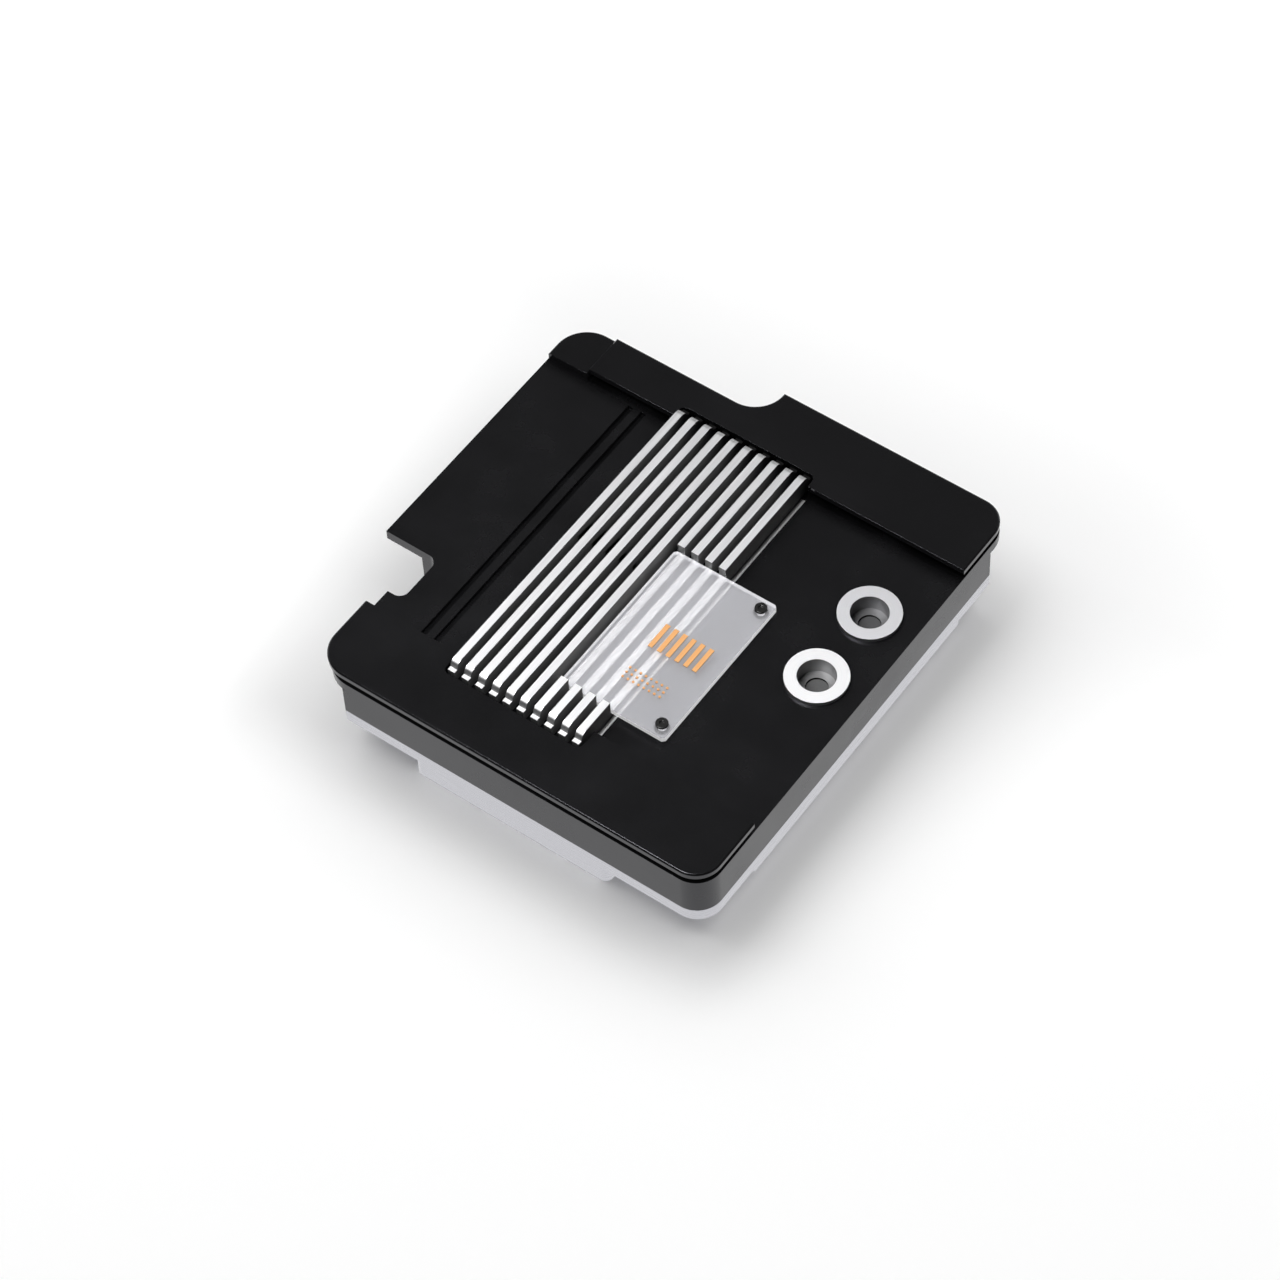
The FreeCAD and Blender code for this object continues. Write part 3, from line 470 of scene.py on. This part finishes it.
# Painted shade inside the ports: the bore is darker than the ring top, the throat almost black, and its
# floor a little lighter than the throat.
inside = ("height", RING_TOP - 0.3 * MM, RING_TOP - 0.1 * MM, 0.8, 0.3)
throat = ("height", bore_end - 0.15 * MM, bore_end - 0.05 * MM, 2.0, 0.12)
throat_floor = ("height", bore_end - 0.95 * MM, bore_end - 0.9 * MM, 1.0, 6.0)
port_finish = {
    node: finish("turned nickel " + node, turned_rings, PORT_SHADED_COLORS[node], 0.05, FINE,
                 {"Axis": axis, "Smooth": 0.55, "Rough": 0.65}, zones=[inside, throat, throat_floor],
                 Metallic=1.0)
    for node, axis in PORT_AXES.items()}
print("ports:", len(port_finish))


# %% Clear plate
EDGE_FACE, FLAT_FACE = 0.3, 0.9


def clear_finish():
    """Clear acrylic with a pale veil: each face lets most light through, and the edges are opaque white and
    glow, which is a painted highlight.

    Light and reflections pass almost freely, so that the bars below stay bright."""
    material = bpy.data.materials.new("clear acrylic")
    material.use_nodes = True
    tree = material.node_tree
    shader = tree.nodes["Principled BSDF"]
    shader.inputs["Base Color"].default_value = (0.92, 0.92, 0.965, 1)
    shader.inputs["IOR"].default_value = 1.49
    source = add(tree, "ShaderNodeGroup", {"node_tree": fine_grain})
    source.inputs["Smooth"].default_value = 0.04
    source.inputs["Rough"].default_value = 0.1
    flatness = calculate(tree, "ABSOLUTE", guide(tree, "level"))
    veil = remap(tree, flatness, EDGE_FACE, FLAT_FACE, 1.0, 0.31)
    # Painted highlight: the edge faces glow.
    painted_edge_glow = remap(tree, flatness, EDGE_FACE, FLAT_FACE, 0.35, 0.0)
    shader.inputs["Emission Strength"].default_value = 1.0
    light_path = add(tree, "ShaderNodeLightPath")
    passing = calculate(tree, "MAXIMUM", light_path.outputs["Is Shadow Ray"],
                        light_path.outputs["Is Glossy Ray"])
    shown = calculate(tree, "MULTIPLY", veil, remap(tree, passing, 0.0, 1.0, 1.0, 0.1))
    join(tree, source.outputs["Roughness"], shader.inputs["Roughness"])
    join(tree, painted_edge_glow, shader.inputs["Emission Color"])
    join(tree, shown, shader.inputs["Alpha"])
    return material


clear_acrylic = clear_finish()
print("clear:", clear_acrylic.name)

# %% Small parts
copper_ink = finish("copper ink", fine_grain, (0.95, 0.47, 0.16), 0.1, COARSE,
                    {"Smooth": 0.3, "Rough": 0.45, "Cloud Scale": 300.0})
black_oxide = finish("black oxide steel", fine_grain, (0.012, 0.012, 0.012), 0.1, FINE,
                     {"Smooth": 0.3, "Rough": 0.4, "Cloud Scale": 400.0})
seal_rubber = finish("seal rubber", fine_grain, (0.02, 0.02, 0.02), 0.3, COARSE,
                     {"Smooth": 0.6, "Rough": 0.75, "Grain Scale": 2500.0})
plain_steel = finish("machined steel", brushed_lines, (0.6, 0.6, 0.61), 0.05, FINE,
                     {"Smooth": 0.25, "Rough": 0.4}, Metallic=1.0)
insert_brass = finish("insert brass", fine_grain, (0.8, 0.6, 0.28), 0.1, FINE,
                      {"Smooth": 0.25, "Rough": 0.4}, Metallic=1.0)
print("small parts: ink, oxide, rubber, steel, brass")

# %% [markdown]
# ## Rib bars
# The bright ribs are ten equal bars with rounded ends and a low foot at each end, side by side at an even
# pitch. Four of them are milled down where the clear plate lies. Ten copies could be modelled by hand, but
# a geometry tree makes one bar from its sizes, sets it out in a row and takes the milled pocket out of all
# of them at once.

# %% Sizes of the rib row
rib_low, rib_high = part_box("rib_bars")
RIB_COUNT = 10
RIB_WIDTH = 2.77 * MM
RIB_PITCH = 5.543 * MM
RIB_END_RADIUS = 2.8 * MM
RIB_FOOT = 1.5 * MM
plate_low, plate_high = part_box("name_plate")
CUT_GAP = 0.12 * MM
print("rib row in mm:", [round(v / MM, 2) for v in (*rib_low, *rib_high)])


# %% Geometry tree of the rib row
def rib_row_tree():
    tree = bpy.data.node_groups.new("rib row", "GeometryNodeTree")
    for name, kind in (("Low Corner", "Vector"), ("Bar Length", "Float"), ("Bar Height", "Float"),
                       ("Bar Width", "Float"), ("End Radius", "Float"), ("Foot Length", "Float"),
                       ("Pitch", "Float"), ("Count", "Int"), ("Pocket Size", "Vector"),
                       ("Pocket Centre", "Vector"), ("Finish", "Material")):
        socket(tree, name, "INPUT", kind)
    socket(tree, "Ribs", "OUTPUT", "Geometry")
    start, end = add(tree, "NodeGroupInput"), add(tree, "NodeGroupOutput")
    sizes = start.outputs

    def vector(x=0.0, y=0.0, z=0.0):
        node = add(tree, "ShaderNodeCombineXYZ")
        feed(tree, node, (x, y, z))
        return node.outputs[0]

    # side view of a bar: a rectangle whose two upper corners are rounded
    both_feet = calculate(tree, "MULTIPLY", sizes["Foot Length"], 2)
    inner_length = calculate(tree, "SUBTRACT", sizes["Bar Length"], both_feet)
    profile = add(tree, "GeometryNodeCurvePrimitiveQuadrilateral")
    join(tree, inner_length, profile.inputs["Width"])
    join(tree, sizes["Bar Height"], profile.inputs["Height"])
    where = add(tree, "GeometryNodeInputPosition")
    parts = add(tree, "ShaderNodeSeparateXYZ")
    join(tree, where.outputs[0], parts.inputs[0])
    upper = calculate(tree, "GREATER_THAN", parts.outputs["Y"], 0.0)
    rounded = add(tree, "GeometryNodeFilletCurve")
    rounded.mode = "POLY"
    rounded.inputs["Count"].default_value = 8
    join(tree, profile.outputs[0], rounded.inputs["Curve"])
    join(tree, calculate(tree, "MULTIPLY", upper, sizes["End Radius"]), rounded.inputs["Radius"])
    side = add(tree, "GeometryNodeFillCurve")
    side.mode = "NGONS"
    join(tree, rounded.outputs[0], side.inputs["Curve"])
    thick = add(tree, "GeometryNodeExtrudeMesh")
    thick.inputs["Individual"].default_value = False
    join(tree, side.outputs[0], thick.inputs["Mesh"])
    join(tree, vector(z=1.0), thick.inputs["Offset"])
    join(tree, sizes["Bar Width"], thick.inputs["Offset Scale"])
    back = add(tree, "GeometryNodeFlipFaces")
    join(tree, side.outputs[0], back.inputs[0])
    shell = add(tree, "GeometryNodeJoinGeometry")
    join(tree, thick.outputs["Mesh"], shell.inputs[0])
    join(tree, back.outputs[0], shell.inputs[0])
    closed = add(tree, "GeometryNodeMergeByDistance")
    closed.inputs["Distance"].default_value = 1e-6
    join(tree, shell.outputs[0], closed.inputs["Geometry"])
    stand = add(tree, "GeometryNodeTransform")
    stand.inputs["Rotation"].default_value = (math.pi / 2, 0, math.pi / 2)
    half_height = calculate(tree, "MULTIPLY", sizes["Bar Height"], 0.5)
    half_length = calculate(tree, "MULTIPLY", sizes["Bar Length"], 0.5)
    join(tree, closed.outputs[0], stand.inputs["Geometry"])
    join(tree, vector(y=half_length, z=half_height), stand.inputs["Translation"])

    # the low foot runs under the whole bar and comes out at both ends
    foot_height = calculate(tree, "SUBTRACT", sizes["Bar Height"], sizes["End Radius"])
    foot = add(tree, "GeometryNodeMeshCube")
    join(tree, vector(sizes["Bar Width"], sizes["Bar Length"], foot_height), foot.inputs["Size"])
    foot_place = add(tree, "GeometryNodeTransform")
    join(tree, foot.outputs["Mesh"], foot_place.inputs["Geometry"])
    join(tree, vector(calculate(tree, "MULTIPLY", sizes["Bar Width"], 0.5), half_length,
                      calculate(tree, "MULTIPLY", foot_height, 0.5)), foot_place.inputs["Translation"])
    bar = add(tree, "GeometryNodeMeshBoolean", {"operation": "UNION", "solver": "EXACT"})
    join(tree, stand.outputs[0], bar.inputs["Mesh 2"])
    join(tree, foot_place.outputs[0], bar.inputs["Mesh 2"])

    # ten bars in a row, less the pocket of the clear plate
    row = add(tree, "GeometryNodeMeshLine")
    join(tree, sizes["Count"], row.inputs["Count"])
    join(tree, sizes["Low Corner"], row.inputs["Start Location"])
    join(tree, vector(x=sizes["Pitch"]), row.inputs["Offset"])
    copies = add(tree, "GeometryNodeInstanceOnPoints")
    join(tree, row.outputs[0], copies.inputs["Points"])
    join(tree, bar.outputs["Mesh"], copies.inputs["Instance"])
    loose = add(tree, "GeometryNodeRealizeInstances")
    join(tree, copies.outputs[0], loose.inputs[0])
    pocket = add(tree, "GeometryNodeMeshCube")
    join(tree, sizes["Pocket Size"], pocket.inputs["Size"])
    pocket_place = add(tree, "GeometryNodeTransform")
    join(tree, pocket.outputs["Mesh"], pocket_place.inputs["Geometry"])
    join(tree, sizes["Pocket Centre"], pocket_place.inputs["Translation"])
    milled = add(tree, "GeometryNodeMeshBoolean", {"operation": "DIFFERENCE", "solver": "EXACT"})
    join(tree, loose.outputs[0], milled.inputs["Mesh 1"])
    join(tree, pocket_place.outputs[0], milled.inputs["Mesh 2"])
    whole = add(tree, "GeometryNodeRealizeInstances")
    join(tree, milled.outputs["Mesh"], whole.inputs[0])
    painted = add(tree, "GeometryNodeSetMaterial")
    join(tree, whole.outputs[0], painted.inputs["Geometry"])
    join(tree, sizes["Finish"], painted.inputs["Material"])
    join(tree, painted.outputs[0], end.inputs["Ribs"])
    return tree


rib_tree = rib_row_tree()
print("tree:", rib_tree.name, "with", len(rib_tree.nodes), "nodes")


# %% Turn a geometry tree into a plain piece
def piece_from_tree(name, tree, inputs):
    """Object with the mesh that the tree makes. The modifier is gone afterwards."""
    carrier = bpy.data.objects.new(name, bpy.data.meshes.new(name))
    bpy.context.scene.collection.objects.link(carrier)
    modifier = carrier.modifiers.new("tree", "NODES")
    modifier.node_group = tree
    for item in tree.interface.items_tree:
        if item.in_out == "INPUT" and item.name in inputs:
            modifier[item.identifier] = inputs[item.name]
    view_layer = bpy.context.evaluated_depsgraph_get()
    made = bpy.data.meshes.new_from_object(carrier.evaluated_get(view_layer))
    carrier.modifiers.clear()
    carrier.data = made
    made.name = name
    return carrier


pocket_low = (plate_low.x - CUT_GAP, plate_low.y - CUT_GAP, plate_low.z - 0.05 * MM)
pocket_high = (plate_high.x, plate_high.y + CUT_GAP, rib_high.z + MM)
ribs = piece_from_tree("rib_row", rib_tree, {
    "Low Corner": tuple(rib_low), "Bar Length": rib_high.y - rib_low.y, "Bar Height": rib_high.z - rib_low.z,
    "Bar Width": RIB_WIDTH, "End Radius": RIB_END_RADIUS, "Foot Length": RIB_FOOT, "Pitch": RIB_PITCH,
    "Count": RIB_COUNT, "Finish": bright,
    "Pocket Size": tuple(high - low for low, high in zip(pocket_low, pocket_high)),
    "Pocket Centre": tuple((high + low) / 2 for low, high in zip(pocket_low, pocket_high))})
print("rib row:", len(ribs.data.polygons), "faces,",
      [round((b - a) / MM, 2) for a, b in zip(ribs.bound_box[0], ribs.bound_box[6])], "mm")

# %% [markdown]
# ## Fine edges
# No machined edge is perfectly sharp, and the thin bright line along it is what makes a part look real.
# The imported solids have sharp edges, so each visible one gets a stand-in: a copy with its triangles merged
# into whole faces, a narrow bevel and smooth shading on the round parts.


# %% Piece with fine edges
def ease_edges(piece, width, segments=2, angle=28):
    """Narrow bevel on the sharp edges. Weighted normals keep the large faces flat between them."""
    bevel = piece.modifiers.new("fine edge", "BEVEL")
    bevel.width = width
    bevel.segments = segments
    bevel.limit_method = "ANGLE"
    bevel.angle_limit = math.radians(angle)
    bevel.use_clamp_overlap = True
    even = piece.modifiers.new("flat faces", "WEIGHTED_NORMAL")
    even.weight = 100
    even.keep_sharp = True
    piece.data.shade_smooth()
    piece.data.set_sharp_from_angle(angle=math.radians(angle))
    return piece


def fine_copy(node, material, width, segments=2):
    """Stand-in for a CAD node: the same shape with fine edges and its finish."""
    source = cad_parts[node]
    mesh = bmesh.new()
    mesh.from_mesh(source.data)
    bmesh.ops.remove_doubles(mesh, verts=mesh.verts, dist=1e-6)
    bmesh.ops.dissolve_limit(mesh, angle_limit=math.radians(0.5), verts=mesh.verts, edges=mesh.edges,
                             delimit=set())
    data = bpy.data.meshes.new(node + "_finished")
    mesh.to_mesh(data)
    mesh.free()
    piece = bpy.data.objects.new(node + "_finished", data)
    bpy.context.scene.collection.objects.link(piece)
    data.materials.append(material)
    ease_edges(piece, width, segments)
    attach(piece, "root")
    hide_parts(node)
    print(piece.name, len(data.polygons), "faces before the bevel")
    return piece


# %% Visible pieces
ease_edges(ribs, 0.12 * MM)
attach(ribs, "root")
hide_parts("rib_bars")
fine_copy("manifold_body", black_body, 0.15 * MM)
for cover, edge in (("front_cover", 0.05), ("rear_cover", 0.03), ("corner_cover", 0.03)):
    fine_copy(cover, black_cover, edge * MM)
fine_copy("cold_plate", nickel, 0.2 * MM)
fine_copy("side_rails", rail_metal, 0.1 * MM)
fine_copy("name_plate", clear_acrylic, 0.12 * MM)
fine_copy("name_plate_inlay", copper_ink, 0.06 * MM)
fine_copy("name_plate_screws", black_oxide, 0.15 * MM)
for node in PORT_AXES:
    fine_copy(node, port_finish[node], 0.2 * MM, 3)

# %% [markdown]
# ## Other pieces
# The rest is inside or underneath and shows only in other views. Those solids stay as they are and get
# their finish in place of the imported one.

# %% Finishes of the remaining solids
FINISH_BY_NODE = {
    "name_plate_spacers": black_cover, "inlet_port_seal": seal_rubber, "outlet_port_seal": seal_rubber,
    "flow_gasket": seal_rubber, "main_seal": seal_rubber, "flow_plate": plain_steel,
    "flow_plate_screws": plain_steel, "base_screws": plain_steel, "locating_pins": plain_steel,
    "mount_inserts": plain_steel, "base_screw_inserts": insert_brass, "front_cover_screws": black_oxide,
    "rear_cover_screws": black_oxide, "corner_cover_screws": black_oxide,
}
for node, material in FINISH_BY_NODE.items():
    for material_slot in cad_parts[node].material_slots:
        material_slot.material = material
print("solids with a new finish:", len(FINISH_BY_NODE))
